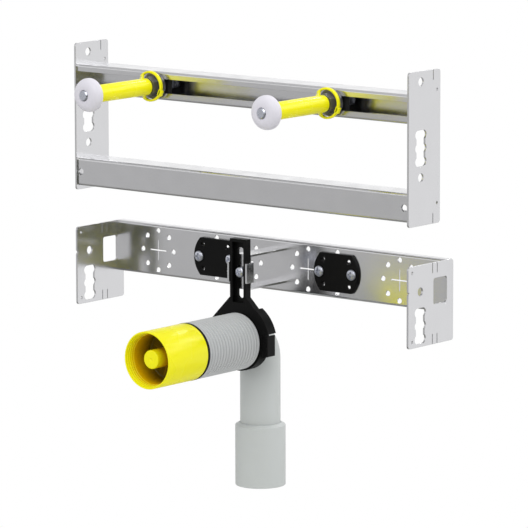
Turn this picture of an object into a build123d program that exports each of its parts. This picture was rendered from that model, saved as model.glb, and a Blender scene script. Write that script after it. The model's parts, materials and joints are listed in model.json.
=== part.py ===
from build123d import *
import os
from math import cos, radians, sin

# Washbasin installation frame, in millimetres.
# X runs along the rails, Y away from the basin into the wall, Z up.
# The origin lies on the outer face of the left side plate, level with the basin studs,
# in the column of holes that screws the plates to the posts on either side.

# Overall sizes
frame_width = 420.0
upper_plate_height = 148.0
upper_plate_depth = 49.5
units_gap = 38.0
end_plate_height = 79.0
end_plate_depth = 71.5
sheet = 2.0
hole_column = 19.0
corner_radius = 3.0

# Side plate holes, measured down from the plate top and back from the hole column
stud_drop = 35.0
post_hole_radius = 4.25
post_hole_drop = 10.1
post_hole_pitch = 91.6
plate_slot_drop = 73.5
slot_lobe_width = 17.6
slot_lobe_height = 9.2
slot_lobe_pitch = 12.8
slot_neck = 13.8
pin_hole_radius = 1.5
pin_hole_inset = 5.0
pin_hole_drop = 19.5
slit_width = 1.0
slit_length = 10.0
slit_inset = 11.2
slit_pitch = 7.4
window_width = 21.6
window_height = 25.6
window_radius = 2.5
window_drop = 27.9
end_slot_rise = 20.5
end_hole_drop = 25.6
end_pin_hole_inset = 6.0
notch_radius = 1.5

# Rails, one section used open to the front above and turned round below
rail_height = 28.0
rail_depth = 30.0
rail_lip = 7.0
rail_return = 4.0
rail_bend = 2.5
rail_setback = 1.6
rail_channel_depth = 20.0
rail_end_hole_radius = 3.5
rail_end_hole_inset = 4.5
lower_rail_rise = 18.5

# Basin studs
left_stud_x = 105.0
right_stud_x = 326.5
stud_radius = 5.0
stud_reach = 107.6
stud_chamfer = 0.8
nut_length = 26.0
nut_thickness = 6.0
slide_clearance = 0.3
stud_clearance = 0.2
rod_behind_nut = 4.0
steel_washer_radius = 13.4
steel_washer_thickness = 3.0
sleeve_wall = 3.3
sleeve_ring_clearance = 0.4
sleeve_ring_wall = 1.5
sleeve_ring_length = 3.4
sleeve_ring_from = -105.0
sleeve_ring_to = 140.0
sleeve_web_width = 5.0
sleeve_web_turn = 135.0
sleeve_lug_width = 5.0
sleeve_lug_inside = 1.8
sleeve_lug_outside = 1.2
sleeve_lug_turn = -23.0
basin_washer_radius = 16.5
basin_washer_rim = 2.5
basin_washer_nose_radius = 7.5
basin_washer_nose = 8.2
rod_proud = 1.4

# Fitting tray
tray_height = 51.5
tray_sheet = 1.5
tray_flange = 10.2
tray_bend = 2.5
ring_hole_radius = 2.65
ring_radius = 20.0
ring_holes = 8
ring_offsets = (40.0, 76.5, 153.0)
cross_length = 21.0
cross_width = 1.2
cross_offsets = (40.0, 153.0)

# Tap plates
tap_plate_offset = 76.5
tap_plate_margin = 7.0
tap_plate_height = 38.0
tap_plate_thickness = 3.0
tap_plate_bulge = 8.0
tap_plate_hole_turn = 37.0
screw_radius = 2.4
screw_head_radius = 5.4
screw_head_height = 2.6
screw_recess_width = 1.3
screw_recess_length = 5.6
screw_recess_depth = 1.2
screw_crown_share = 0.6
screw_rim_share = 0.45
screw_tail = 5.0

# Arm that carries the drain bracket
arm_width = 18.0
arm_sheet = 2.0
arm_spread = 34.6
arm_reach = 52.9
arm_tab_height = 19.5
arm_tab_reach = 8.7
arm_tab_root = 1.0

# Drain bracket and pipe clamp
drain_drop = 244.5
bar_width = 20.0
bar_rib = 3.0
bar_depth = 7.6
bar_web = 3.0
bar_length = 57.5
bar_neck_rise = 13.0
bar_recess_fall = 5.5
bar_slot_width = 7.8
bar_slot_top_margin = 8.5
bar_slot_fall = 1.8
wing_overhang = 2.5
wing_level = 20.0
clamp_wall = 5.5
strap_wall = 4.8
clamp_depth = 12.2
clamp_recess = 0.4
clamp_clearance = 0.1
clamp_split = 165.0
lug_rise = 8.5
lug_from = 15.0
lug_to = 58.0
lug_gap = 1.4
buckle_reach = 6.0
buckle_bite = 2.0
buckle_inner_end = 15.0
buckle_outer_end = 12.5
buckle_setback = 0.5
bracket_screw_radius = 3.5
bracket_head_height = 3.6
bracket_nut_radius = 6.5
bracket_nut_height = 5.0

# Drain
pipe_radius = 20.0
pipe_wall = 3.0
bend_inner_radius = 1.6
bend_stub = 0.5
socket_radius = 25.0
socket_wall = 2.6
socket_length = 68.0
outlet_step = 5.0
outlet_wall = 2.4
outlet_length = 63.0
outlet_cone = 2.3
outlet_lip = 1.0
outlet_bottom = 393.6
outlet_overlap = 34.0
plug_clearance = 0.2
pipe_clearance = 0.1
sleeve_length = 77.3
ribbed_wall = 2.9
rib_count = 18
rib_depth = 0.9
rib_slope_share = 0.25
seal_wall = 2.7
seal_width = 2.4
cap_overhang = 3.1
cap_length = 58.8
cap_rim_wall = 1.6
cap_step_count = 4
cap_step_length = 2.4
cap_step_rise = 0.5
cap_depth = 34.0
cap_floor_wall = 2.4
cap_pin_radius = 9.2
cap_pin_recess = 6.0
cap_pin_chamfer = 1.0
cap_pin_dimple_radius = 1.8
cap_pin_dimple_depth = 0.7
cap_plug_length = 20.0
cap_plug_wall = 2.4

# How far a cutting body runs past the face that it cuts
past = 1.0

# Sizes that follow from the sizes above
sleeve_bore = stud_radius + stud_clearance
sleeve_radius = sleeve_bore + sleeve_wall
sleeve_ring_bore = steel_washer_radius + sleeve_ring_clearance
sleeve_ring_radius = sleeve_ring_bore + sleeve_ring_wall
clamp_radius = socket_radius + clamp_wall
strap_radius = socket_radius + strap_wall
lug_radius = clamp_radius + lug_rise
wing_reach = clamp_radius + wing_overhang
bar_neck = clamp_radius + bar_neck_rise
bar_top = bar_neck + bar_length
outlet_radius = pipe_radius + outlet_step
socket_fit_radius = socket_radius + plug_clearance
ribbed_radius = socket_fit_radius + ribbed_wall
seal_radius = socket_fit_radius + seal_wall
cap_radius = socket_radius + cap_overhang
bend_radius = pipe_radius + bend_inner_radius

# Levels and planes that follow from the sizes above
middle_x = frame_width / 2
plates_front = -hole_column
upper_top = stud_drop
upper_bottom = upper_top - upper_plate_height
lower_top = upper_bottom - units_gap
lower_bottom = lower_top - end_plate_height
inner_left = sheet
inner_right = frame_width - sheet
rail_front = plates_front + rail_setback
lower_rail_level = upper_bottom + lower_rail_rise
nut_front = rail_front + rail_return + slide_clearance
washer_back = rail_front - slide_clearance
washer_front = washer_back - steel_washer_thickness
stud_tip = plates_front - stud_reach
basin_washer_front = stud_tip + rod_proud
basin_washer_back = basin_washer_front + basin_washer_nose + basin_washer_rim
tray_back = plates_front + end_plate_depth
wall_face = tray_back - tray_flange
wall_back = wall_face + tray_sheet
tray_level = lower_top - tray_height / 2
drain_level = -drain_drop
bar_back = wall_face - arm_reach
bar_front = bar_back - bar_depth
clamp_front = bar_front + clamp_recess
clamp_back = clamp_front + clamp_depth
pipe_y = clamp_back + bend_stub + bend_radius
sleeve_front = clamp_front - sleeve_length
seal_front = sleeve_front - seal_width
cap_front = seal_front - cap_length


def block(x_range, y_range, z_range):
    """Box between two corners, given as one range for each axis."""
    sizes = [high - low for low, high in (x_range, y_range, z_range)]
    middles = [(high + low) / 2 for low, high in (x_range, y_range, z_range)]
    return Pos(*middles) * Box(*sizes)


def rod_y(radius, y_from, y_to, x, z):
    """Round bar along Y between two planes."""
    return Pos(x, (y_from + y_to) / 2, z) * Rot(90, 0, 0) * Cylinder(radius, abs(y_to - y_from))


def tube_y(outer, inner, y_from, y_to, x, z):
    """Round tube along Y between two planes."""
    return rod_y(outer, y_from, y_to, x, z) - rod_y(inner, y_from - past, y_to + past, x, z)


def turned_y(profile, x, z):
    """Solid turned about a line along Y from (radius, y) points."""
    face = make_face(Polyline(*[(radius, y) for radius, y in profile], close=True))
    return Pos(x, 0, z) * revolve(face, Axis.Y)


def plate_section(x_from, x_to, outline):
    """Sketch in the YZ plane drawn through from one X to another."""
    return Pos(x_from, 0, 0) * extrude(Plane.YZ * outline, amount=x_to - x_from)


def sector(radius, from_degrees, to_degrees):
    """Pie piece about the middle of a sketch, used to part a ring."""
    start, middle, end = [(radius * cos(radians(turn)), radius * sin(radians(turn)))
                          for turn in (from_degrees, (from_degrees + to_degrees) / 2, to_degrees)]
    return make_face(Polyline((0, 0), start) + ThreePointArc(start, middle, end) + Polyline(end, (0, 0)))


def scalloped_slot(y, z):
    """Upright slot with wavy sides: three short slots across it, joined by a narrower neck."""
    shape = Pos(y, z) * Rectangle(slot_neck, 2 * slot_lobe_pitch)
    for step in (-1, 0, 1):
        shape += Pos(y, z + step * slot_lobe_pitch) * SlotOverall(slot_lobe_width, slot_lobe_height)
    return shape


def edge_slit(y, edge_z, direction):
    """Thin slit cut in from the top or bottom edge of a plate."""
    return Pos(y, edge_z - direction * slit_length / 2) * Rectangle(slit_width, slit_length)


def upper_plate_outline():
    """Side plate of the upper frame with its post holes, slot, pin holes and slits."""
    back = plates_front + upper_plate_depth
    outline = Pos((plates_front + back) / 2, (upper_top + upper_bottom) / 2) * RectangleRounded(
        upper_plate_depth, upper_plate_height, corner_radius)
    first_hole = upper_top - post_hole_drop
    for level in (first_hole, first_hole - post_hole_pitch):
        outline -= Pos(0, level) * Circle(post_hole_radius)
    outline -= scalloped_slot(0, upper_top - plate_slot_drop)
    for level in (upper_top - pin_hole_drop, upper_bottom + pin_hole_drop):
        outline -= Pos(back - pin_hole_inset, level) * Circle(pin_hole_radius)
    for edge, direction in ((upper_top, 1), (upper_bottom, -1)):
        outline -= edge_slit(back - slit_inset, edge, direction)
    return outline


def end_plate_outline():
    """End plate of the lower crossbar with its window, slot, holes and slits."""
    outline = Pos((plates_front + tray_back) / 2, (lower_top + lower_bottom) / 2) * RectangleRounded(
        end_plate_depth, end_plate_height, corner_radius)
    outline -= Pos(wall_face - window_width / 2, lower_top - window_drop) * RectangleRounded(
        window_width, window_height, window_radius)
    outline -= Pos(0, lower_top - end_hole_drop) * Circle(post_hole_radius)
    outline -= Pos(plates_front, lower_top - end_hole_drop) * Circle(notch_radius)
    outline -= scalloped_slot(0, lower_bottom + end_slot_rise)
    front_pin_y = plates_front + end_pin_hole_inset
    for level in (lower_top - end_pin_hole_inset, lower_bottom + end_pin_hole_inset):
        outline -= Pos(front_pin_y, level) * Circle(pin_hole_radius)
    first_slit = plates_front + upper_plate_depth - slit_inset
    for y in (first_slit, first_slit + slit_pitch):
        for edge, direction in ((lower_top, 1), (lower_bottom, -1)):
            outline -= edge_slit(y, edge, direction)
    return outline


def rail_section(front_y, level, open_to_front):
    """C section with turned-in lips, its mouth to the front or to the back."""
    inner_height = rail_height - 2 * sheet
    inner_depth = rail_depth - 2 * sheet
    centre_y = front_y + rail_depth / 2
    mouth = rail_height - 2 * rail_lip
    section = Pos(centre_y, level) * RectangleRounded(rail_depth, rail_height, rail_bend)
    section -= Pos(centre_y, level) * RectangleRounded(inner_depth, inner_height, rail_bend / 2)
    side = -1 if open_to_front else 1
    lip_y = centre_y + side * (rail_depth - sheet) / 2
    section -= Pos(lip_y, level) * Rectangle(2 * sheet, mouth)
    return_y = centre_y + side * (rail_depth / 2 - rail_return / 2)
    for up in (-1, 1):
        edge = level + up * (mouth + sheet) / 2
        section += Pos(return_y, edge) * Rectangle(rail_return, sheet)
    return section


def upper_fixing_rail():
    """Rail that holds the basin studs, open to the front, with an inner wall behind their channel."""
    section = rail_section(rail_front, 0, True)
    section += Pos(rail_front + rail_channel_depth + sheet / 2, 0) * Rectangle(sheet, rail_height - sheet)
    return plate_section(inner_left, inner_right, section)


def lower_cross_rail():
    """Closed face of the second rail, with a hole near each end."""
    rail = plate_section(inner_left, inner_right, rail_section(rail_front, lower_rail_level, False))
    for x in (inner_left + rail_end_hole_inset, inner_right - rail_end_hole_inset):
        rail -= rod_y(rail_end_hole_radius, rail_front - past, rail_front + sheet + past, x, lower_rail_level)
    return rail


def rail_nut(x):
    """Slotted block behind the rail lips, threaded on the stud."""
    back = nut_front + nut_thickness
    height = rail_height - 2 * sheet - 2 * slide_clearance
    half = nut_length / 2
    nut = block((x - half, x + half), (nut_front, back), (-height / 2, height / 2))
    return nut - rod_y(stud_radius, nut_front - past, back + past, x, 0)


def threaded_rod(x):
    """Stud from the nut out through sleeve and basin washer."""
    back = nut_front + nut_thickness + rod_behind_nut
    profile = [(0, stud_tip), (stud_radius - stud_chamfer, stud_tip), (stud_radius, stud_tip + stud_chamfer),
               (stud_radius, back), (0, back)]
    return turned_y(profile, x, 0)


def steel_washer(x):
    """Flat steel washer against the rail lips."""
    return tube_y(steel_washer_radius, sleeve_bore, washer_front, washer_back, x, 0)


def protection_sleeve(x):
    """Yellow tube on the stud, with an open ring that hugs the steel washer, its web and its lug."""
    tube = tube_y(sleeve_radius, sleeve_bore, basin_washer_back, washer_front, x, 0)
    ring = Circle(sleeve_ring_radius) & sector(2 * sleeve_ring_radius, sleeve_ring_from, sleeve_ring_to)
    ring -= Circle(sleeve_ring_bore)
    web_length = sleeve_ring_bore + sleeve_ring_wall / 2
    web = Pos(web_length / 2, 0) * Rectangle(web_length, sleeve_web_width)
    web -= Circle(sleeve_radius - sleeve_wall / 2)
    lug_length = sleeve_ring_wall + sleeve_lug_inside + sleeve_lug_outside
    lug_middle = sleeve_ring_bore - sleeve_lug_inside + lug_length / 2
    lug = Pos(lug_middle, 0) * Rectangle(lug_length, sleeve_lug_width)
    inner = Rot(0, 0, sleeve_web_turn) * web + Rot(0, 0, sleeve_lug_turn) * lug
    half_ring = sleeve_ring_length / 2
    collar = Pos(x, washer_front + half_ring, 0) * Rot(90, 0, 0) * extrude(ring, amount=sleeve_ring_length)
    return tube + collar + Pos(x, washer_front, 0) * Rot(90, 0, 0) * extrude(inner, amount=half_ring)


def basin_washer(x):
    """White washer, flat towards the wall and domed towards the basin nut."""
    rim = basin_washer_front + basin_washer_nose
    dome_width = basin_washer_radius - basin_washer_nose_radius
    steps = 6
    dome = []
    for step in range(steps + 1):
        turn = radians(90 * step / steps)
        dome.append((basin_washer_nose_radius + dome_width * cos(turn), rim - basin_washer_nose * sin(turn)))
    bore = [(sleeve_bore, basin_washer_front), (sleeve_bore, basin_washer_back)]
    return turned_y([(basin_washer_radius, basin_washer_back)] + dome + bore, x, 0)


def fitting_tray():
    """Perforated back wall with its top and bottom edges folded back."""
    depth = tray_flange + tray_bend
    centre_y = wall_face + depth / 2
    section = Pos(centre_y, tray_level) * RectangleRounded(depth, tray_height, tray_bend)
    section -= Pos(centre_y, tray_level) * RectangleRounded(
        depth - 2 * tray_sheet, tray_height - 2 * tray_sheet, tray_bend - tray_sheet)
    section -= Pos(tray_back + tray_bend, tray_level) * Rectangle(2 * tray_bend, tray_height + past)
    tray = plate_section(inner_left, inner_right, section)
    for offset in ring_offsets:
        for side in (-1, 1):
            tray -= ring_of_holes(middle_x + side * offset, ring_hole_radius)
    for offset in cross_offsets:
        for side in (-1, 1):
            tray -= cross_slits(middle_x + side * offset)
    return tray


def ring_of_holes(x, radius):
    """Eight drills on a circle about a tap position, through the tray wall."""
    drills = []
    for index in range(ring_holes):
        turn = radians(360 * index / ring_holes)
        drills.append(rod_y(radius, wall_face - past, wall_back + past,
                            x + ring_radius * cos(turn), tray_level + ring_radius * sin(turn)))
    return drills


def cross_slits(x):
    """Two crossed slits that mark the middle of a tap position."""
    depth = (wall_face - past, wall_back + past)
    half, thin = cross_length / 2, cross_width / 2
    return [block((x - half, x + half), depth, (tray_level - thin, tray_level + thin)),
            block((x - thin, x + thin), depth, (tray_level - half, tray_level + half))]


def tap_plate(x):
    """Black plate with bulged ends, two screw holes and four fixing holes."""
    half_height = tap_plate_height / 2
    tip = ring_radius + tap_plate_margin
    shoulder = tip - tap_plate_bulge
    ends = Polyline((-shoulder, half_height), (shoulder, half_height))
    ends += ThreePointArc((shoulder, half_height), (tip, 0), (shoulder, -half_height))
    ends += Polyline((shoulder, -half_height), (-shoulder, -half_height))
    ends += ThreePointArc((-shoulder, -half_height), (-tip, 0), (-shoulder, half_height))
    outline = make_face(ends)
    turn = radians(tap_plate_hole_turn)
    for side in (-1, 1):
        outline -= Pos(side * ring_radius, 0) * Circle(screw_radius)
        for up in (-1, 1):
            centre = (side * ring_radius * cos(turn), up * ring_radius * sin(turn))
            outline -= Pos(*centre) * Circle(ring_hole_radius)
    return Pos(x, wall_face, tray_level) * Rot(90, 0, 0) * extrude(outline, amount=tap_plate_thickness)


def pan_screw(x, z, seat_y, head_height, shank_radius, tail_y):
    """Pan head screw with a cross recess, its head in front of the seat."""
    head_front = seat_y - head_height
    rim_front = seat_y - head_height * screw_rim_share
    profile = [(0, head_front), (screw_head_radius * screw_crown_share, head_front),
               (screw_head_radius, rim_front), (screw_head_radius, seat_y), (shank_radius, seat_y),
               (shank_radius, tail_y), (0, tail_y)]
    screw = turned_y(profile, x, z)
    half, thin = screw_recess_length / 2, screw_recess_width / 2
    depth = (head_front - past, head_front + screw_recess_depth)
    screw -= block((x - half, x + half), depth, (z - thin, z + thin))
    return screw - block((x - thin, x + thin), depth, (z - half, z + half))


def tap_screw(x):
    """Screw that holds a tap plate to the tray wall."""
    seat = wall_face - tap_plate_thickness
    return pan_screw(x, tray_level, seat, screw_head_height, screw_radius, wall_back + screw_tail)


def drain_arm():
    """Bent strap from the tray wall to the bracket, with a tab at each side of the bar."""
    half = arm_width / 2
    web = (bar_back, bar_back + arm_sheet)
    high = tray_level + arm_spread / 2
    low = tray_level - arm_spread / 2
    arm = block((middle_x - half, middle_x + half), web, (low, high))
    for bottom, top in ((high - arm_sheet, high), (low, low + arm_sheet)):
        arm += block((middle_x - half, middle_x + half), (bar_back, wall_face), (bottom, top))
    tab_span = (tray_level - arm_tab_height / 2, tray_level + arm_tab_height / 2)
    tab_inner = bar_width / 2 + slide_clearance
    tab_outer = tab_inner + arm_sheet
    for side in (-1, 1):
        tab = sorted((middle_x + side * tab_inner, middle_x + side * tab_outer))
        root = sorted((middle_x + side * (half - arm_tab_root), middle_x + side * tab_outer))
        arm += block(tab, (bar_back - arm_tab_reach, bar_back + arm_sheet), tab_span)
        arm += block(root, web, tab_span)
    web_front, web_back = web
    return arm - rod_y(bracket_screw_radius, web_front - past, web_back + past, middle_x, tray_level)


def bracket_screw():
    """Screw through the slot of the bar into the arm."""
    seat = bar_back - bar_web - slide_clearance
    tail = bar_back + arm_sheet + bracket_nut_height + sheet
    return pan_screw(middle_x, tray_level, seat, bracket_head_height, bracket_screw_radius, tail)


def bracket_nut():
    """Hexagon nut of the bracket screw, behind the arm."""
    front = bar_back + arm_sheet
    back = front + bracket_nut_height
    nut = Pos(middle_x, back, tray_level) * Rot(90, 0, 0) * extrude(
        RegularPolygon(bracket_nut_radius, 6), amount=bracket_nut_height)
    return nut - rod_y(bracket_screw_radius, front - past, back + past, middle_x, tray_level)


def on_drain(sketch, y_front, depth):
    """Sketch drawn about the drain axis, as seen from the front, given a depth along Y."""
    return Pos(middle_x, y_front + depth, drain_level) * Rot(90, 0, 0) * extrude(sketch, amount=depth)


def clamp_bore():
    """Round space for the pipe socket in both halves of the clamp."""
    bore_radius = socket_radius + clamp_clearance
    return rod_y(bore_radius, clamp_front - past, clamp_back + past, middle_x, drain_level)


def clamp_bracket():
    """Slotted channel bar that flares into the upper part of the pipe clamp."""
    bar_middle = Pos(0, (bar_top + bar_neck) / 2)
    bar = on_drain(bar_middle * Rectangle(bar_width, bar_length), bar_front, bar_depth)
    recess_top, recess_bottom = bar_top - bar_rib, bar_neck - bar_recess_fall
    recess = Pos(0, (recess_top + recess_bottom) / 2) * Rectangle(
        bar_width - 2 * bar_rib, recess_top - recess_bottom)
    slot_top, slot_bottom = bar_top - bar_slot_top_margin, bar_neck - bar_slot_fall
    slot_middle = Pos(0, (slot_top + slot_bottom) / 2)
    slot = slot_middle * SlotOverall(slot_top - slot_bottom, bar_slot_width, rotation=90)
    lug_corner = (lug_radius * cos(radians(lug_to)), lug_radius * sin(radians(lug_to)))
    flare = make_face(Polyline((-bar_width / 2, bar_neck), (bar_width / 2, bar_neck), lug_corner,
                               (0, 0), (-wing_reach, wing_level), close=True))
    arch = Circle(clamp_radius) & sector(2 * clamp_radius, lug_to, clamp_split)
    bracket = bar + on_drain(flare, clamp_front, bar_back - clamp_front)
    bracket += on_drain(arch, clamp_front, clamp_depth)
    bracket -= on_drain(recess, bar_front - past, bar_depth - bar_web + past)
    bracket -= on_drain(slot, bar_front - past, bar_depth + 2 * past)
    return bracket - clamp_bore()


def clamp_strap():
    """Lower part of the pipe clamp with its hinge lug and the buckle that closes it."""
    strap = Circle(strap_radius) & sector(2 * strap_radius, clamp_split, 360 + lug_to)
    strap += Circle(lug_radius) & sector(2 * lug_radius, lug_from, lug_to)
    inner, outer = strap_radius - buckle_bite, clamp_radius + buckle_reach
    drop = lug_gap / cos(radians(lug_from))
    rise = sin(radians(lug_from)) / cos(radians(lug_from))
    buckle = make_face(Polyline((inner, rise * inner - drop), (outer, rise * outer - drop),
                                (outer, -buckle_outer_end), (inner, -buckle_inner_end), close=True))
    shape = on_drain(strap, clamp_front, clamp_depth)
    shape += on_drain(buckle, clamp_front + buckle_setback, clamp_depth - buckle_setback)
    return shape - clamp_bore()


def drain_bend():
    """Grey pipe bend with a wide socket at its horizontal end."""
    bore = pipe_radius - pipe_wall
    bend_start = pipe_y - bend_radius
    socket_front = clamp_front - socket_length
    socket_bore = socket_radius - socket_wall
    socket_floor = clamp_back - socket_wall
    profile = [(socket_bore, socket_front), (socket_radius, socket_front), (socket_radius, clamp_back),
               (pipe_radius, clamp_back), (pipe_radius, bend_start), (bore, bend_start),
               (bore, socket_floor), (socket_bore, socket_floor)]
    mouth = Pos(middle_x, bend_start, drain_level) * Rot(90, 0, 0) * (Circle(pipe_radius) - Circle(bore))
    leg_top = drain_level - bend_radius
    seat = outlet_overlap - outlet_bottom
    leg = Cylinder(pipe_radius, leg_top - seat) - Cylinder(bore, leg_top - seat)
    elbow = revolve(mouth, Axis((middle_x, bend_start, leg_top), (-1, 0, 0)), 90)
    bend = turned_y(profile, middle_x, drain_level) + elbow
    return bend + Pos(middle_x, pipe_y, (leg_top + seat) / 2) * leg


def outlet_socket():
    """Wider lower end of the pipe with a coned shoulder, open at the bottom."""
    bottom = -outlet_bottom
    top = bottom + outlet_length
    seat = bottom + outlet_overlap
    pipe_fit = pipe_radius + pipe_clearance
    bore = outlet_radius - outlet_wall
    profile = [(bore, bottom), (outlet_radius, bottom), (outlet_radius, top - outlet_cone),
               (pipe_fit + outlet_lip, top), (pipe_fit, top), (pipe_fit, seat), (bore, seat)]
    turned = revolve(Plane.XZ * make_face(Polyline(*profile, close=True)), Axis.Z)
    return Pos(middle_x, pipe_y, 0) * turned


def ribbed_sleeve():
    """Grey sleeve over the socket with fine rings that can be cut to length."""
    pitch = sleeve_length / rib_count
    groove_radius = ribbed_radius - rib_depth
    outer = []
    for index in range(rib_count):
        start = sleeve_front + index * pitch
        outer += [(groove_radius, start), (ribbed_radius, start + pitch * rib_slope_share),
                  (ribbed_radius, start + pitch * (1 - rib_slope_share))]
    outer.append((groove_radius, clamp_front))
    bore = [(socket_fit_radius, clamp_front), (socket_fit_radius, sleeve_front)]
    return turned_y(outer + bore, middle_x, drain_level)


def seal_ring():
    """Black ring between the sleeve and the cap."""
    return tube_y(seal_radius, socket_fit_radius, seal_front, sleeve_front, middle_x, drain_level)


def protection_cap():
    """Yellow building cap, open to the front, its mouth stepped and a pin in its middle."""
    floor = cap_front + cap_depth
    pin_front = cap_front + cap_pin_recess
    plug_radius = socket_radius - socket_wall - plug_clearance
    plug_back = seal_front + cap_plug_length
    plug_bore = plug_radius - cap_plug_wall
    hidden_floor = floor + cap_floor_wall
    profile = [(0, pin_front + cap_pin_dimple_depth), (cap_pin_dimple_radius, pin_front),
               (cap_pin_radius - cap_pin_chamfer, pin_front), (cap_pin_radius, pin_front + cap_pin_chamfer),
               (cap_pin_radius, floor)]
    mouth_radius = cap_radius - cap_rim_wall
    bore_radius = mouth_radius - cap_step_count * cap_step_rise
    profile.append((bore_radius, floor))
    for step in range(cap_step_count, 0, -1):
        step_y = cap_front + step * cap_step_length
        step_radius = mouth_radius - step * cap_step_rise
        profile += [(step_radius, step_y), (step_radius + cap_step_rise, step_y)]
    profile += [(mouth_radius, cap_front), (cap_radius, cap_front), (cap_radius, seal_front),
                (plug_radius, seal_front), (plug_radius, plug_back), (plug_bore, plug_back),
                (plug_bore, hidden_floor), (0, hidden_floor)]
    return turned_y(profile, middle_x, drain_level)


def build_parts():
    """Every piece of the frame by the name of its node."""
    parts = {
        "upper_left_side_plate": plate_section(0, sheet, upper_plate_outline()),
        "upper_right_side_plate": plate_section(inner_right, frame_width, upper_plate_outline()),
        "upper_fixing_rail": upper_fixing_rail(),
        "lower_cross_rail": lower_cross_rail(),
        "fitting_tray": fitting_tray(),
        "lower_left_end_plate": plate_section(0, sheet, end_plate_outline()),
        "lower_right_end_plate": plate_section(inner_right, frame_width, end_plate_outline()),
        "drain_arm": drain_arm(),
        "bracket_screw": bracket_screw(),
        "bracket_nut": bracket_nut(),
        "clamp_bracket": clamp_bracket(),
        "clamp_strap": clamp_strap(),
        "drain_bend": drain_bend(),
        "outlet_socket": outlet_socket(),
        "ribbed_sleeve": ribbed_sleeve(),
        "seal_ring": seal_ring(),
        "protection_cap": protection_cap(),
    }
    for side, x in (("left", left_stud_x), ("right", right_stud_x)):
        parts[f"{side}_rail_nut"] = rail_nut(x)
        parts[f"{side}_threaded_rod"] = threaded_rod(x)
        parts[f"{side}_steel_washer"] = steel_washer(x)
        parts[f"{side}_protection_sleeve"] = protection_sleeve(x)
        parts[f"{side}_basin_washer"] = basin_washer(x)
    for side, sign in (("left", -1), ("right", 1)):
        centre = middle_x + sign * tap_plate_offset
        parts[f"{side}_tap_plate"] = tap_plate(centre)
        parts[f"{side}_tap_outer_screw"] = tap_screw(centre + sign * ring_radius)
        parts[f"{side}_tap_inner_screw"] = tap_screw(centre - sign * ring_radius)
    return parts


os.makedirs("parts", exist_ok=True)
for name, part in build_parts().items():
    export_step(part, f"parts/{name}.step")
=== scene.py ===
"""Looks of a washbasin installation frame: sheet steel, black brackets, grey drain and yellow building caps.

Every length is in metres, X along the rails, Y into the wall, Z up.
"""
import json
from math import cos, pi, radians, sin

import bmesh
import bpy
import numpy as np
from bpy.props import FloatProperty, FloatVectorProperty, IntProperty, PointerProperty
from mathutils import Matrix, Vector

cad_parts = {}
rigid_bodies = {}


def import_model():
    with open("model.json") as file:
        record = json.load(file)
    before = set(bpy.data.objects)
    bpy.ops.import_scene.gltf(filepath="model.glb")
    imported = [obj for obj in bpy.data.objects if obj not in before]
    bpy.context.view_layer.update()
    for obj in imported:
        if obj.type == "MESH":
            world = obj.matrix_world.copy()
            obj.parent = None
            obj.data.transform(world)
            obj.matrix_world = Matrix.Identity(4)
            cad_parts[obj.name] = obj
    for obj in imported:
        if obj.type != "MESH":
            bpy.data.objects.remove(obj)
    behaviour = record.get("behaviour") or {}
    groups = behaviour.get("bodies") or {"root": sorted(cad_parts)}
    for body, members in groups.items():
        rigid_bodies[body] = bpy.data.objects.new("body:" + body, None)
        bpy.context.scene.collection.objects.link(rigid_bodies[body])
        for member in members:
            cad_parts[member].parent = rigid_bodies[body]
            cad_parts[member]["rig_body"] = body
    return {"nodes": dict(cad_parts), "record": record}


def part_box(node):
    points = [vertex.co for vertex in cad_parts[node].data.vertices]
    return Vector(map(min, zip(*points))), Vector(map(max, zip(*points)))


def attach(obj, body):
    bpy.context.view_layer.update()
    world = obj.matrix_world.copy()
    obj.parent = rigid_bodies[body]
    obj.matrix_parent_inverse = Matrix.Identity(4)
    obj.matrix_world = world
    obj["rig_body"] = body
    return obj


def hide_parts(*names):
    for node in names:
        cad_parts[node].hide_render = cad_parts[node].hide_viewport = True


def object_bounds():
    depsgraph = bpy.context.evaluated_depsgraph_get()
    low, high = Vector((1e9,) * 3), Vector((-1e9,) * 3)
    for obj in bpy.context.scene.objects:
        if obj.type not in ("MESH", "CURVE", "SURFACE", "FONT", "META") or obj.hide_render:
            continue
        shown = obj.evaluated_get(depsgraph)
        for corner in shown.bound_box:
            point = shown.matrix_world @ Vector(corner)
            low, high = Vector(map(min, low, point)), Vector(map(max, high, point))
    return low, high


bl_info = {
    "name": "Washbasin Installation Frame",
    "version": (1, 0, 0),
    "blender": (4, 5, 0),
    "location": "3D View > Sidebar > Basin Frame",
    "description": "Finishes and fine shapes of a washbasin installation frame",
    "category": "Object",
}

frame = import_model()
CAD_BOX = [list(corner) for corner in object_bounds()]
SLOTS = {part["node"]: part["material_slot"] for part in frame["record"]["subparts"]}
BODIES = {name: node["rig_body"] for name, node in frame["nodes"].items()}

MM = 0.001
SIDES = ("left", "right")
# Points nearer than this are one point, and edges that turn further than this stay sharp
MERGE_DISTANCE = 1e-7
SHARP_ANGLE = radians(38)
# Share of its size by which the outline of a bar shrinks at a rounded end
END_SHRINK = 0.3
# Noise lies nearly always between these two values
NOISE_LOW, NOISE_HIGH = 0.3, 0.7


def linear(hex_colour):
    """Linear RGB of an sRGB hex colour: each channel c becomes c / 12.92 or ((c + 0.055) / 1.055) ** 2.4."""
    channels = [int(hex_colour[i:i + 2], 16) / 255 for i in (1, 3, 5)]
    return tuple(c / 12.92 if c <= 0.04045 else ((c + 0.055) / 1.055) ** 2.4 for c in channels)


def mm_property(name, description, value):
    """A length property whose default is given in millimetres."""
    return FloatProperty(name=name, description=description, default=value * MM, min=0.0, unit="LENGTH",
                         precision=5)


def colour_property(name, description, hex_colour):
    """A colour property whose default is an sRGB hex value."""
    return FloatVectorProperty(name=name, description=description, default=linear(hex_colour), min=0.0,
                               max=1.0, subtype="COLOR", size=3)


def count_property(name, description, count, least=3):
    """A whole number property."""
    return IntProperty(name=name, description=description, default=count, min=least)


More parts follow.
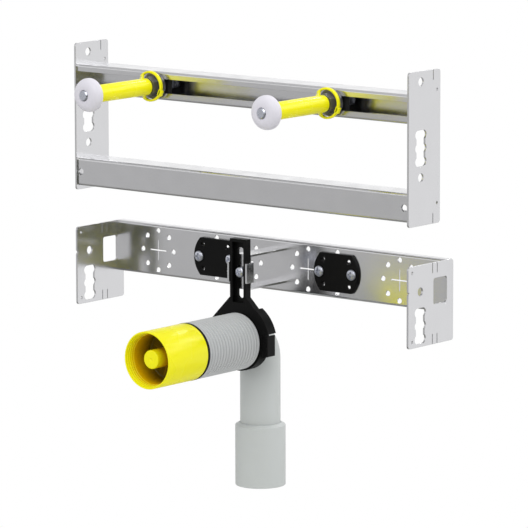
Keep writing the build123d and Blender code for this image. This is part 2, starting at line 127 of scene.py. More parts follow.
def share_property(name, description, share):
    """A share of one."""
    return FloatProperty(name=name, description=description, default=share, min=0.0, max=1.0,
                         subtype="FACTOR")


def angle_property(name, description, degrees):
    """An angle property whose default is given in degrees."""
    return FloatProperty(name=name, description=description, default=radians(degrees), subtype="ANGLE")


class BasinFrameSizes(bpy.types.PropertyGroup):
    """Fine sizes that the finished pieces add to the frame."""

    stud_pitch: mm_property("Stud thread", "Rise of one turn of the stud thread", 1.5)
    screw_pitch: mm_property("Screw thread", "Rise of one turn of the screw threads", 0.8)
    stud_bore: mm_property("Stud bore", "Radius of the holes that the studs pass", 5.2)
    edge_round: mm_property("Moulded edge", "Radius of the rounded edges of moulded parts", 0.5)
    sheet_edge: mm_property("Sheet edge", "Radius at which cut sheet edges catch the light", 0.3)
    washer_nose: mm_property("Washer nose", "Radius of the flat front of the basin washers", 7.5)
    washer_rim: mm_property("Washer rim", "Thickness of the straight rim of the basin washers", 2.5)
    sleeve_wall: mm_property("Sleeve wall", "Wall of the yellow tubes on the studs", 3.3)
    tube_stop: mm_property("Tube stop", "Distance of the yellow tube's end from the washer", 11.3)
    ring_bore: mm_property("Ring bore", "Inner radius of the open ring in front of the steel washer", 13.05)
    ring_wall: mm_property("Ring wall", "Wall of the open ring", 2.2)
    ring_forward: mm_property("Ring forward", "Distance of the ring's middle from the washer", 4.8)
    ring_length: mm_property("Ring length", "Length of the open ring along the stud", 3.4)
    rib_count: count_property("Ribs", "Rings along the grey sleeve", 18)
    rib_depth: mm_property("Rib depth", "Depth of the grooves between the rings", 2.2)
    rib_wall: mm_property("Ribbed wall", "Wall of the ribbed sleeve over its rings", 2.9)
    cap_wall: mm_property("Cap rim", "Wall of the yellow cap at its mouth", 1.6)
    cap_depth: mm_property("Cap depth", "Depth of the yellow cap behind its mouth", 34.0)
    pin_radius: mm_property("Pin radius", "Radius of the pin in the middle of the cap", 9.2)
    pin_recess: mm_property("Pin recess", "Distance of the pin behind the mouth of the cap", 6.0)
    outlet_wall: mm_property("Outlet wall", "Wall of the wide lower end of the pipe", 2.4)
    outlet_seat: mm_property("Outlet seat", "Height of the pipe's end above the lower end", 34.0)


class BasinFrameColours(bpy.types.PropertyGroup):
    """Colours of the finishes."""

    steel: colour_property("Galvanised steel", "Sheet steel of plates, rails and tray", "#D4D4D6")
    zinc: colour_property("Zinc plate", "Bluish zinc on screws and studs", "#C9CCD6")
    # A darker grey than the zinc plate, for the stud washers and nuts
    dull_zinc: colour_property("Dull zinc", "Tarnished zinc of the stud washers and nuts", "#8C8C8E")
    # Rail nuts: near black, partly their own finish and partly painted shade inside the rails
    blackened: colour_property("Blackened steel", "Rail nuts", "#060606")
    black: colour_property("Black plastic", "Glass filled plastic of brackets and tap plates", "#070707")
    rubber: colour_property("Black rubber", "Seal ring", "#080808")
    pipe: colour_property("Pipe grey", "Drain bend and outlet", "#BFC3C2")
    sleeve: colour_property("Sleeve grey", "Ribbed sleeve", "#BBBDBE")
    yellow: colour_property("Building yellow", "Cap and stud sleeves", "#F6F00E")
    # Painted shade: amber and brown darken the yellow inside the cap's hollow, standing for light that has
    # bounced there
    amber: colour_property("Inner amber", "Yellow plastic a little way inside a hollow", "#DDB000")
    brown: colour_property("Inner brown", "Yellow plastic deep inside a hollow", "#6E5C08")
    white: colour_property("Washer white", "Basin washers", "#DCDAE2")
    paper: colour_property("Paper", "Floor of the stage", "#F4F4F2")
    shaded_paper: colour_property("Shaded paper", "Floor of the stage as metal mirrors it", "#8A8A86")


def sizes():
    """The size settings of the scene."""
    return bpy.context.scene.basin_frame_sizes


def colours():
    """The colour settings of the scene."""
    return bpy.context.scene.basin_frame_colours


# Meshes

def surface(name, points, wrap_u=False, wrap_v=False):
    """Mesh object of a grid of points (rows u, columns v, 3): each cell is one quad.

    A wrapped direction joins its last row to its first. Rows that shrink to one point become a pole,
    because equal points are merged, and then the faces are turned outwards.
    """
    rows, columns = points.shape[:2]
    index = np.arange(rows * columns).reshape(rows, columns)
    if wrap_u:
        index = np.vstack((index, index[:1]))
    if wrap_v:
        index = np.hstack((index, index[:, :1]))
    quads = np.stack((index[:-1, :-1], index[1:, :-1], index[1:, 1:], index[:-1, 1:]), axis=-1).reshape(-1, 4)
    mesh = bpy.data.meshes.new(name)
    mesh.vertices.add(rows * columns)
    mesh.vertices.foreach_set("co", points.astype(np.float32).ravel())
    mesh.loops.add(quads.size)
    mesh.loops.foreach_set("vertex_index", quads.astype(np.int32).ravel())
    mesh.polygons.add(len(quads))
    mesh.polygons.foreach_set("loop_start", np.arange(0, quads.size, 4, dtype=np.int32))
    mesh.update(calc_edges=True)
    mesh.validate()
    work = bmesh.new()
    work.from_mesh(mesh)
    bmesh.ops.remove_doubles(work, verts=work.verts, dist=MERGE_DISTANCE)
    bmesh.ops.recalc_face_normals(work, faces=work.faces)
    work.to_mesh(mesh)
    work.free()
    mesh.polygons.foreach_set("use_smooth", np.ones(len(mesh.polygons), dtype=bool))
    mesh.set_sharp_from_angle(angle=SHARP_ANGLE)
    piece = bpy.data.objects.new(name, mesh)
    bpy.context.scene.collection.objects.link(piece)
    return piece


def joined(name, pieces):
    """One object of several closed shells that belong to one moulding."""
    with bpy.context.temp_override(active_object=pieces[0], selected_editable_objects=pieces):
        bpy.ops.object.join()
    pieces[0].name = name
    pieces[0].data.name = name
    return pieces[0]


def rounded(corners, radii, steps=5):
    """Closed outline with its corners cut by arcs: each corner of radius r gets an arc tangent to both edges.

    corners is (n, 2) and radii n lengths. The arc runs from r * tan(turn / 2) before the corner to the same
    after it, and a corner of radius zero stays sharp.
    """
    corners = np.asarray(corners, float)
    before, after = np.roll(corners, 1, axis=0), np.roll(corners, -1, axis=0)
    points = []
    for corner, last, following, radius in zip(corners, before, after, radii):
        if radius <= 0:
            points.append(corner[None])
            continue
        to_last, to_next = last - corner, following - corner
        # Arcs of neighbouring corners share an edge, so each stays just under half of it
        room = 0.49 * min(np.linalg.norm(to_last), np.linalg.norm(to_next))
        to_last, to_next = to_last / np.linalg.norm(to_last), to_next / np.linalg.norm(to_next)
        half = np.arccos(np.clip(to_last @ to_next, -1, 1)) / 2
        reach = min(radius / np.tan(half), room)
        bow = reach * np.tan(half)
        centre = corner + (to_last + to_next) / np.linalg.norm(to_last + to_next) * bow / np.sin(half)
        start, end = corner + to_last * reach - centre, corner + to_next * reach - centre
        turn = np.linspace(0, 1, steps)[:, None]
        sweep = np.arccos(np.clip(start @ end / bow ** 2, -1, 1))
        arc = (np.sin((1 - turn) * sweep) * start + np.sin(turn * sweep) * end) / np.sin(sweep)
        points.append(centre + arc)
    return np.vstack(points)


def turns(steps):
    """Evenly spaced angles of one whole turn."""
    return np.linspace(0, 2 * pi, steps, endpoint=False)


def around(name, radius, along, centre, axis="Y", closed=False):
    """Surface about an axis: row u and turn t give r cos t and r sin t across it and h along it.

    radius r and along h are (rows, steps) arrays, so either may change with the turn.
    """
    turn = turns(radius.shape[1])
    first, second = centre[0] + radius * np.cos(turn), centre[1] + radius * np.sin(turn)
    points = (first, along, second) if axis == "Y" else (first, second, along)
    return surface(name, np.stack(points, axis=-1), wrap_u=closed, wrap_v=True)


def turned(name, outline, centre, axis="Y", steps=96, closed=True):
    """Solid of revolution of (r, h) points: every turn has the same radius and height."""
    outline = np.asarray(outline, float)
    return around(name, np.tile(outline[:, :1], steps), np.tile(outline[:, 1:], steps), centre, axis, closed)


def thread(radius, depth, pitch, start, stop, steps, per_turn=8):
    """Radius and height rows of an outside thread: r falls by depth * (1 - |2 f - 1|).

    f is the part of a turn left over from height / pitch - turn / 2 pi. A 45 degree chamfer closes the far
    end: there r is no more than the core plus the distance to the end.
    """
    rows = int((stop - start) / pitch * per_turn) + 1
    along = np.tile(np.linspace(start, stop, rows)[:, None], steps)
    part = (along / pitch - turns(steps) / (2 * pi)) % 1
    winding = radius - depth * (1 - np.abs(2 * part - 1))
    return np.minimum(winding, radius - depth + stop - along), along


def capped(name, sections):
    """Closed bar through a stack of outlines (rows, points, 3): both ends close on the outline's middle."""
    first, last = (np.tile(sections[end].mean(axis=0), (sections.shape[1], 1))[None] for end in (0, -1))
    return surface(name, np.vstack((first, sections, last)), wrap_v=True)


def softened(amounts):
    """Sizes along a bar whose ends are rounded: the outline shrinks to the share (1 - amount) of its size."""
    return 1 - np.asarray(amounts)[:, None, None]


def arc_bar(name, outline, centre, start, stop, round_angle, steps=40):
    """Bar bent round an axis along Y: outline (r, h) swept from one turn to another, its ends drawn in."""
    turn = np.hstack((start, np.linspace(start + round_angle, stop - round_angle, steps), stop))
    amounts = np.zeros(len(turn))
    amounts[[0, -1]] = END_SHRINK
    middle = outline.mean(axis=0)
    shapes = middle + (outline - middle) * softened(amounts)
    radius, along = shapes[..., 0], shapes[..., 1]
    points = np.stack((centre[0] + radius * np.cos(turn)[:, None], along,
                       centre[1] + radius * np.sin(turn)[:, None]), axis=-1)
    return capped(name, points)


def spoke(name, outline, centre, turn, start, stop, round_length, slant=0.0):
    """Straight bar along a radius: outline (across, h) moved from one radius to another, its ends drawn in.

    The bar leans by slant: its inner end lies that much lower in h than its outer end.
    """
    reach = np.array((start, start + round_length, stop - round_length, stop))
    middle = outline.mean(axis=0)
    shapes = middle + (outline - middle) * softened((END_SHRINK, 0.0, 0.0, END_SHRINK))
    across = shapes[..., 0]
    along = shapes[..., 1] - slant * ((stop - reach) / (stop - start))[:, None]
    points = np.stack((centre[0] + reach[:, None] * cos(turn) - across * sin(turn), along,
                       centre[1] + reach[:, None] * sin(turn) + across * cos(turn)), axis=-1)
    return capped(name, points)


def stands_for(piece, node, look=None):
    """The piece takes the place, the body, the slot and the finish of a CAD node, or another finish."""
    slot = SLOTS[node]
    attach(piece, BODIES[node])
    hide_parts(node)
    finish(piece, look or slot)


def measured(node):
    """Middle (x, z), front and back along Y, and radius across X of a node about a line along Y."""
    low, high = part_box(node)
    return ((low.x + high.x) / 2, (low.z + high.z) / 2), low.y, high.y, (high.x - low.x) / 2


# Materials

def add_node(tree, kind, settings=None, **links):
    """One shader node: settings are its attributes, and links are its inputs, values or sockets.

    kind is its type without "ShaderNode". An input goes by its name, with _ for a space, or by its place in
    the node as i0, i1 and so on.
    """
    node = tree.nodes.new("ShaderNode" + kind)
    for key, value in (settings or {}).items():
        setattr(node, key, value)
    for key, value in links.items():
        socket = node.inputs[int(key[1:])] if key[0] == "i" and key[1:].isdigit() else node.inputs[
            key.replace("_", " ")]
        if isinstance(value, bpy.types.NodeSocket):
            tree.links.new(value, socket)
        else:
            socket.default_value = value
    return node


def new_material(name, colour, metallic=0.0, roughness=0.5, **inputs):
    """Material with a Principled shader, and its tree and shader."""
    material = bpy.data.materials.new(name)
    material.use_nodes = True
    tree = material.node_tree
    shader = tree.nodes["Principled BSDF"]
    shader.inputs["Base Color"].default_value = (*colour, 1.0)
    shader.inputs["Metallic"].default_value = metallic
    shader.inputs["Roughness"].default_value = roughness
    for key, value in inputs.items():
        shader.inputs[key.replace("_", " ")].default_value = value
    return material, tree, shader


def uneven_gloss(tree, shader, patch_mm, detail, low, high):
    """Lets the roughness wander between two values, in soft patches about patch_mm across.

    It returns the place in the object that the patches are worked out from.
    """
    place = add_node(tree, "TexCoord").outputs["Object"]
    noise = add_node(tree, "TexNoise", Vector=place, Scale=1 / (patch_mm * MM), Detail=detail).outputs[0]
    rough = add_node(tree, "MapRange", Value=noise, i1=NOISE_LOW, i2=NOISE_HIGH, i3=low, i4=high).outputs[0]
    tree.links.new(rough, shader.inputs["Roughness"])
    return place


def relief(tree, shader, height, strength, edge_radius):
    """Fine relief 0.2 mm deep over edges that look rounded by a radius."""
    edge = add_node(tree, "Bevel", {"samples": 4}, Radius=edge_radius).outputs[0]
    bump = add_node(tree, "Bump", Strength=strength, Distance=0.2 * MM, Height=height, Normal=edge).outputs[0]
    tree.links.new(bump, shader.inputs["Normal"])


def ramp(tree, value, stops):
    """Colour ramp over 0 to 1, with stops of a place and a grey level or a colour."""
    shades = add_node(tree, "ValToRGB", Fac=value)
    elements = shades.color_ramp.elements
    while len(elements) < len(stops):
        elements.new(0.5)
    for element, (place, colour) in zip(elements, stops):
        element.position = place
        element.color = (*((colour,) * 3 if isinstance(colour, float) else colour), 1.0)
    return shades.outputs[0]


def galvanised_sheet():
    """Continuously hot-dip galvanised sheet, skin passed: a soft mirror, smeared across its rolling lines."""
    material, tree, shader = new_material("galvanised_sheet", colours().steel, metallic=1.0, roughness=0.22,
                                          Anisotropic=0.6)
    place = uneven_gloss(tree, shader, 16.667, 3.0, 0.19, 0.25)
    # Rolling lines 0.625 mm apart and 40 mm long, coarser than real ones so that they show
    line_length, line_pitch = 40.0 * MM, 0.625 * MM
    stretched = add_node(tree, "Mapping", Vector=place,
                         Scale=(1 / line_length, 1 / line_pitch, 1 / line_pitch)).outputs[0]
    lines = add_node(tree, "TexNoise", Vector=stretched, Scale=1.0, Detail=2.0).outputs[0]
    # The rolling lines run along X, so the mirror spreads at right angles to X and to the sheet's normal.
    # The small offset gives sheets that face along X a direction too
    normal = add_node(tree, "NewGeometry").outputs["True Normal"]
    across = add_node(tree, "VectorMath", {"operation": "CROSS_PRODUCT"}, i0=normal,
                      i1=(1.0, 0.0, 0.0)).outputs[0]
    spread = add_node(tree, "VectorMath", {"operation": "ADD"}, i0=across, i1=(0.0, 0.01, 0.0)).outputs[0]
    tree.links.new(spread, shader.inputs["Tangent"])
    relief(tree, shader, lines, 0.02, sizes().sheet_edge)
    return material


def coated_steel(name, colour, patch_mm, detail, low, high, **inputs):
    """Plated or oxidised steel, whose gloss varies in fine patches."""
    material, tree, shader = new_material(name, colour, roughness=(low + high) / 2, **inputs)
    uneven_gloss(tree, shader, patch_mm, detail, low, high)
    return material


def zinc_plate():
    """Bright blue-passivated zinc on turned steel: small, hard highlights."""
    return coated_steel("zinc_plate", colours().zinc, 1.4286, 2.0, 0.22, 0.36, metallic=1.0)


def dull_zinc():
    """Zinc on a stamped washer, barrel plated: a dark, mottled grey."""
    return coated_steel("dull_zinc", colours().dull_zinc, 2.0, 3.0, 0.40, 0.65, metallic=1.0)


def blackened_steel():
    """Hot-rolled steel, phosphated and oiled: nearly black, with a faint satin shine. The black also paints
    the shade that the rail nuts sit in inside the rails.
    """
    return coated_steel("blackened_steel", colours().blackened, 2.5, 3.0, 0.38, 0.52, Specular_IOR_Level=0.1)


def moulded(name, colour, roughness, grain_mm, grain_strength, **inputs):
    """Injection moulded plastic: fine mould grain in the relief and a little unevenness in the gloss."""
    material, tree, shader = new_material(name, colour, roughness=roughness, **inputs)
    unevenness = 0.05
    place = uneven_gloss(tree, shader, 28.571, 2.0, roughness - unevenness, roughness + unevenness)
    grain = add_node(tree, "TexNoise", Vector=place, Scale=1 / (grain_mm * MM), Detail=3.0).outputs[0]
    relief(tree, shader, grain, grain_strength, sizes().edge_round)
    return material, tree, shader


def black_nylon():
    """Glass filled nylon, moulded: deep black with a dull sheen."""
    return moulded("black_nylon", colours().black, 0.45, 0.8, 0.25, Specular_IOR_Level=0.13)[0]


def seal_rubber():
    """EPDM rubber, moulded: black and matt."""
    return moulded("seal_rubber", colours().rubber, 0.65, 0.6, 0.2, Specular_IOR_Level=0.2)[0]


def pipe_plastic():
    """Polypropylene drain pipe, extruded and formed: grey, with a soft satin shine."""
    return moulded("pipe_plastic", colours().pipe, 0.45, 1.2, 0.1)[0]


def sleeve_plastic():
    """Polyethylene sleeve: grey and rather matt."""
    return moulded("sleeve_plastic", colours().sleeve, 0.5, 0.8, 0.1)[0]


def building_yellow():
    """Polyethylene in signal yellow, moulded: glossy, and inside a hollow painted shade turns it amber and
    then brown.

    The attribute "inside" is 0 on the outside and 1 at the bottom of a hollow. The amber and brown are
    painted shade for the light there, which has bounced off yellow walls so often that only its red and a
    little green are left.
    """
    material, tree, shader = moulded("building_yellow", colours().yellow, 0.27, 1.0, 0.06,
                                     Specular_IOR_Level=0.3, Subsurface_Weight=0.1,
                                     Subsurface_Radius=(0.004, 0.003, 0.0008))
    inside = add_node(tree, "Attribute", {"attribute_name": "inside"}).outputs["Fac"]
    palette = colours()
    # Painted shade: deeper in the hollow the colour goes from yellow to amber and then brown
    shades = ((0.0, palette.yellow), (0.1, palette.yellow), (0.35, palette.amber), (1.0, palette.brown))
    tree.links.new(ramp(tree, inside, shades), shader.inputs["Base Color"])
    return material


def washer_white():
    """Polyamide washer, moulded: white with a breath of lilac, satin."""
    return moulded("washer_white", colours().white, 0.45, 0.7, 0.15, Subsurface_Weight=0.1,
                   Subsurface_Radius=(0.002, 0.002, 0.002))[0]


# Finishes by the slots of the record, and one more for washers that are duller than their slot
FINISHES = {
    "galvanised_steel": galvanised_sheet, "zinc_plated_steel": zinc_plate,
    "dull_zinc": dull_zinc, "blackened_steel": blackened_steel, "black_plastic": black_nylon,
    "black_rubber": seal_rubber, "grey_pipe": pipe_plastic, "grey_sleeve": sleeve_plastic,
    "yellow_plastic": building_yellow, "white_plastic": washer_white,
}


def finish(piece, slot):
    """Gives a piece the finish of a slot, made once and then shared."""
    name = FINISHES[slot].__name__
    material = bpy.data.materials.get(name) or FINISHES[slot]()
    if piece.data.materials:
        for index in range(len(piece.data.materials)):
            piece.data.materials[index] = material
    else:
        piece.data.materials.append(material)


class BASINFRAME_OT_plain_parts(bpy.types.Operator):
    """Finish the parts that keep their shape: sheets, rail nuts, tap plates, drain bracket and pipe bend"""

    bl_idname = "basinframe.plain_parts"
    bl_label = "Plain parts"

    # Every node of these slots, and two more
    PLAIN_SLOTS = ("galvanised_steel", "blackened_steel", "black_plastic")
    PLAIN_NODES = ("bracket_nut", "drain_bend")

    def execute(self, context):
        for node, slot in SLOTS.items():
            if slot in self.PLAIN_SLOTS or node in self.PLAIN_NODES:
                finish(frame["nodes"][node], slot)
        return {"FINISHED"}


class BASINFRAME_OT_nuts_and_washers(bpy.types.Operator):
    """Make the stud washers with their hexagon nuts"""

    bl_idname = "basinframe.nuts_and_washers"
    bl_label = "Nuts and washers"

    across: mm_property("Across flats", "Width of the hexagon nut across its flats", 17.0)
    nut_length: mm_property("Nut length", "Length of the hexagon nut along the stud", 10.0)
    steps: count_property("Steps", "Points round a nut", 72)

    def execute(self, context):
        for side in SIDES:
            node = f"{side}_steel_washer"
            centre, front, back, size = measured(node)
            piece = around(f"{side}_washer_and_nut", *self.rows(front, back, size), centre, closed=True)
            stands_for(piece, node, "dull_zinc")
        return {"FINISHED"}

    def rows(self, front, back, size):
        """Radius and height rows of a washer with a hexagon in front of it.

        The hexagon's radius is half its width over cos(t), t being the turn from the middle of the flat.
        """
        from_flat = (turns(self.steps) + pi / 6) % (pi / 3) - pi / 6
        hexagon = 0.5 * self.across / np.cos(from_flat)
        circle = np.ones(self.steps)
        bore, rim = sizes().stud_bore * circle, size * circle
        nut_front = front - self.nut_length
        along = (back, back, front, front, nut_front, nut_front)
        return np.stack((bore, rim, rim, hexagon, hexagon, bore)), np.outer(along, circle)


class BASINFRAME_OT_stud_rods(bpy.types.Operator):
    """Make the two threaded rods"""

    bl_idname = "basinframe.stud_rods"
    bl_label = "Threaded rods"

    depth: mm_property("Thread depth", "Depth of the stud thread", 0.8)
    steps: count_property("Steps", "Points round the rod", 24)

    def execute(self, context):
        for side in SIDES:
            node = f"{side}_threaded_rod"
            centre, front, back, size = measured(node)
            # The thread is worked out from the back end, so that its chamfer closes the end that shows
            radius, depth = thread(size, self.depth, sizes().stud_pitch, 0.0, back - front, self.steps)
            radius, along = (np.vstack((rows[:1], rows, rows[-1:])) for rows in (radius, back - depth))
            radius[[0, -1]] = 0.0
            stands_for(around(f"{side}_stud_rod", radius, along, centre), node)
        return {"FINISHED"}


class BASINFRAME_OT_basin_washers(bpy.types.Operator):
    """Make the two white washers that the basin rests against"""

    bl_idname = "basinframe.basin_washers"
    bl_label = "Basin washers"

    bore_round: mm_property("Bore edge", "Radius of the edge of the bore at the back", 0.2)
    rim_round: mm_property("Rim edge", "Radius of the rim's edge at the back", 0.8)
    nose_round: mm_property("Nose edge", "Radius of the edge of the bore at the nose", 0.6)
    dome_points: count_property("Dome points", "Points from the rim to the nose", 20)

    def execute(self, context):
        for side in SIDES:
            node = f"{side}_basin_washer"
            centre, front, back, size = measured(node)
            stands_for(turned(f"{side}_domed_washer", self.outline(front, back, size), centre), node)
        return {"FINISHED"}

    def outline(self, front, back, size):
        """Straight bore and back, and the dome as a quarter of an ellipse from the rim to the nose."""
        nose, rim, bore = sizes().washer_nose, sizes().washer_rim, sizes().stud_bore
        rise = np.linspace(0, pi / 2, self.dome_points)
        dome = np.stack((nose + (size - nose) * np.cos(rise),
                         back - rim + (front - back + rim) * np.sin(rise)), axis=-1)
        corners = np.vstack(([(bore, back), (size, back)], dome, [(bore, front)]))
        radii = [self.bore_round, self.rim_round] + [0.0] * len(dome) + [self.nose_round]
        return rounded(corners, radii)


class BASINFRAME_OT_protection_sleeves(bpy.types.Operator):
    """Make the two yellow sleeves with the open ring in front of the steel washer, its arms and its lug"""

    bl_idname = "basinframe.protection_sleeves"
    bl_label = "Protection sleeves"

    open_from: angle_property("From", "Turn at which the ring starts", -125)
    open_to: angle_property("To", "Turn at which the ring ends", 140)
    upper_arm: angle_property("Upper arm", "Turn of the upper arm", 135)
    lower_arm: angle_property("Lower arm", "Turn of the lower arm", -120)
    lug_turn: angle_property("Lug", "Turn of the lug", -23)
    arm_lean: mm_property("Arm lean", "Distance along the stud from the arms' foot to the ring", 9.0)
    bar_width: mm_property("Width", "Width of the arms and of the lug", 6.0)
    lug_inside: mm_property("Lug inside", "Reach of the lug inside the ring", 1.2)
    lug_outside: mm_property("Lug outside", "Reach of the lug outside the ring", 1.7)
    tube_round: mm_property("Tube edge", "Radius of the tube's edges", 0.3)
    front_round: mm_property("Front edge", "Radius of the front edges of ring, arms and lug", 0.6)
    back_round: mm_property("Back edge", "Radius of their back edges and of their ends", 0.4)
    ring_steps: count_property("Ring steps", "Sections along the ring", 60)

    def execute(self, context):
        for side in SIDES:
            centre, washer_front, _, _ = measured(f"{side}_steel_washer")
            tube_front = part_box(f"{side}_basin_washer")[1].y
            ring_middle = washer_front - sizes().ring_forward
            pieces = [self.tube(side, centre, tube_front, washer_front - sizes().tube_stop),
                      self.ring(side, centre, ring_middle), *self.bars(side, centre, ring_middle)]
            stands_for(joined(f"{side}_stud_sleeve", pieces), f"{side}_protection_sleeve")
        return {"FINISHED"}

    def tube(self, side, centre, front, back):
        """Tube from the basin washer to its end in front of the steel washer."""
        bore = sizes().stud_bore
        outer = bore + sizes().sleeve_wall
        corners = ((bore, front), (outer, front), (outer, back), (bore, back))
        return turned(f"{side}_tube", rounded(corners, [self.tube_round] * 4), centre)

    def section(self, low, high, middle):
        """Outline from low to high across the ring or a bar, as long along the stud as the ring."""
        half = sizes().ring_length / 2
        corners = ((low, middle - half), (high, middle - half), (high, middle + half), (low, middle + half))
        return rounded(corners, [self.front_round] * 2 + [self.back_round] * 2)

    def ring(self, side, centre, middle):
        """Open ring in front of the steel washer."""
        bore = sizes().ring_bore
        return arc_bar(f"{side}_ring", self.section(bore, bore + sizes().ring_wall, middle), centre,
                       self.open_from, self.open_to, self.back_round / bore, self.ring_steps)

    def bars(self, side, centre, middle):
        """Two slanting arms from the tube to the ring, and the lug across the ring."""
        bore, wall = sizes().ring_bore, sizes().ring_wall
        outline = self.section(-self.bar_width / 2, self.bar_width / 2, middle)
        foot = sizes().stud_bore + sizes().sleeve_wall - wall
        bars = [spoke(f"{side}_{name}", outline, centre, turn, foot, bore + wall / 2, self.back_round,
                      self.arm_lean)
                for name, turn in (("upper_arm", self.upper_arm), ("lower_arm", self.lower_arm))]
        return bars + [spoke(f"{side}_lug", outline, centre, self.lug_turn, bore - self.lug_inside,
                             bore + wall + self.lug_outside, self.back_round)]


class BASINFRAME_OT_screws(bpy.types.Operator):
    """Make the pan head screws of the tap plates and of the bracket"""

    bl_idname = "basinframe.screws"
    bl_label = "Screws"

    steps: count_property("Steps", "Points round a screw", 72)
    recess_width: mm_property("Recess width", "Width of the cross recess", 1.5)
    recess_length: mm_property("Recess length", "Length of the cross recess", 6.2)
    recess_depth: mm_property("Recess depth", "Depth of the cross recess", 1.5)
    recess_soft: mm_property("Recess slope", "Width of the sloping wall of the cross recess", 0.35)
    thread_depth: mm_property("Thread depth", "Depth of the screw threads", 0.5)
    head_edge: mm_property("Head edge", "Chamfer under the head", 0.2)
    rim_share: share_property("Rim share", "Share of the head's height that is its rim", 0.35)

    # Head height and shank radius in mm, and turn of the recess, which differs from screw to screw as hand
    # work does
    SCREWS = {
        "left_tap_outer_screw": (2.6, 2.4, 4), "left_tap_inner_screw": (2.6, 2.4, 31),
        "right_tap_inner_screw": (2.6, 2.4, 12), "right_tap_outer_screw": (2.6, 2.4, -6),
        "bracket_screw": (3.6, 3.5, 20)}

    def execute(self, context):
        for node, (head, shank, turn) in self.SCREWS.items():
            centre, front, tail, size = measured(node)
            radius, along = self.rows(front, head * MM, shank * MM, tail, size, radians(turn))
            stands_for(around(node.replace("_screw", "_cross_screw"), radius, along, centre), node)
        return {"FINISHED"}

    def rows(self, front, head, shank, tail, size, turn):
        """Dome, rim, underside, thread and end of a screw as rows from the middle of its head to its tail.

        The dome falls by (1 - sqrt(1 - s ** 3)) of the head less its rim, where s is the share of the head's
        radius, and the cross recess is cut from it.
        """
        # The power below 1 puts more of the 30 rows near the edge, where the dome falls fastest
        share = np.linspace(0, 1, 30)[:, None] ** 0.9
        rim = self.rim_share * head
        dome = np.tile(size * share, self.steps)
        crown = front + (head - rim) * (1 - np.sqrt(1 - share ** 3)) + self.recess(dome, turn)
        seat = front + head
        edge = self.head_edge
        side = np.array(((size, seat - edge), (size - edge, seat), (shank, seat)))
        winding, along = thread(shank, self.thread_depth, sizes().screw_pitch, seat, tail, self.steps)
        end = np.zeros((1, self.steps))
        radius = np.vstack((dome, np.tile(side[:, :1], self.steps), winding, end))
        height = np.vstack((crown, np.tile(side[:, 1:], self.steps), along, end + tail))
        return radius, height

    def recess(self, radius, turn):
        """Depth of the cross: full where the nearer of |x| and |z| is within the width and the other within
        the length, with smooth walls."""
        angle = turns(self.steps) - turn
        x, z = np.abs(radius * np.cos(angle)), np.abs(radius * np.sin(angle))
        wide = (self.recess_width / 2 - np.minimum(x, z)) / self.recess_soft + 0.5
        long = (self.recess_length / 2 - np.maximum(x, z)) / self.recess_soft + 0.5
        inside = np.clip(np.minimum(wide, long), 0, 1)
        return self.recess_depth * inside ** 2 * (3 - 2 * inside)


class BASINFRAME_OT_drain_pipe(bpy.types.Operator):
    """Make the wide lower end of the pipe"""

    bl_idname = "basinframe.drain_pipe"
    bl_label = "Drain pipe"

    shoulder: mm_property("Shoulder", "Height of the cone at the top of the wide end", 2.3)
    lip: mm_property("Lip", "Wall of the wide end at its top", 1.0)
    fit: mm_property("Fit", "Gap between the pipe and the wide end", 0.1)

    def execute(self, context):
        low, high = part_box("outlet_socket")
        centre = (low.x + high.x) / 2, (low.y + high.y) / 2
        size = (high.x - low.x) / 2
        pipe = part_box("drain_bend")[1].y - centre[1] + self.fit
        bore, seat = size - sizes().outlet_wall, low.z + sizes().outlet_seat
        corners = ((bore, low.z), (size, low.z), (size, high.z - self.shoulder), (pipe + self.lip, high.z),
                   (pipe, high.z), (pipe, seat), (bore, seat))
        # In mm, in the order of the corners: two at the mouth, three at the top, two at the seat inside
        radii = (0.5, 0.9, 1.2, 0.4, 0.2, 0.0, 0.5)
        outline = rounded(corners, [radius * MM for radius in radii])
        stands_for(turned("wide_pipe_end", outline, centre, axis="Z"), "outlet_socket")
        return {"FINISHED"}


class BASINFRAME_OT_ribbed_sleeve(bpy.types.Operator):
    """Make the ribbed grey sleeve and the black ring in front of it"""

    bl_idname = "basinframe.ribbed_sleeve"
    bl_label = "Ribbed sleeve"

    bulge: mm_property("Bulge", "How far the rubber stands out of its seat", 0.4)
    bore_round: mm_property("Bore edge", "Radius of the edges of the rubber's bore", 0.2)
    rubber_round: mm_property("Rubber edge", "Radius of the outer edges of the rubber", 0.3)
    sharpness: count_property("Sharpness", "Power that narrows the grooves", 3, 1)
    rib_steps: count_property("Rib steps", "Points along one rib", 12)

    def execute(self, context):
        centre, front, back, size = measured("ribbed_sleeve")
        bore = size - sizes().rib_wall
        share = np.linspace(0, 1, sizes().rib_count * self.rib_steps + 1)
        # Rings: the radius falls by the depth times (0.5 + 0.5 cos(2 pi ribs s)) ** sharpness along s
        groove = (0.5 + 0.5 * np.cos(2 * pi * sizes().rib_count * share)) ** self.sharpness
        rings = np.stack((size - sizes().rib_depth * groove, front + (back - front) * share), axis=-1)
        outline = np.vstack((rings, [(bore, back), (bore, front)]))
        stands_for(turned("ribbed_pipe_sleeve", outline, centre), "ribbed_sleeve")

        centre, front, back, size = measured("seal_ring")
        # The rubber bulges a little where the cap presses it
        size, front, back = size + self.bulge, front - self.bulge, back + self.bulge
        corners = ((bore, front), (size, front), (size, back), (bore, back))
        outline = rounded(corners, [self.bore_round, self.rubber_round, self.rubber_round, self.bore_round])
        stands_for(turned("rubber_seal", outline, centre), "seal_ring")
        return {"FINISHED"}


